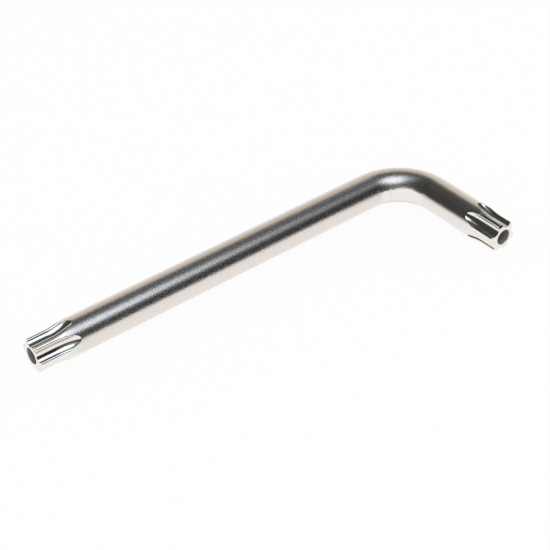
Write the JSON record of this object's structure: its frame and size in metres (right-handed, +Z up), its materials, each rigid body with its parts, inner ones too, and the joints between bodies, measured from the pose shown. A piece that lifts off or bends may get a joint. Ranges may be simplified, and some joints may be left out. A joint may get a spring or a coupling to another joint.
{
  "type": "star key",
  "caption": "L-shaped hand key bent from round satin-plated steel bar, with a drilled star drive on the end of each arm, for turning tamper-resistant star-socket screws.",
  "frame": {"origin": "middle of the key's plan outline, on the surface that the key lies on", "axes": "+X along the long arm from its star towards the bend, +Y from the short arm's star towards the bend, +Z up from the surface"},
  "size_m": [0.091, 0.0318, 0.007],
  "materials": {
    "satin_bar": "satin nickel plate over a finely blasted bar",
    "bright_star": "bright nickel plate over formed flutes"
  },
  "bodies": {
    "root": {"long_star_tip": "bright_star", "long_arm": "satin_bar", "bend": "satin_bar", "short_arm": "satin_bar", "short_star_tip": "bright_star"}
  },
  "joints": []
}
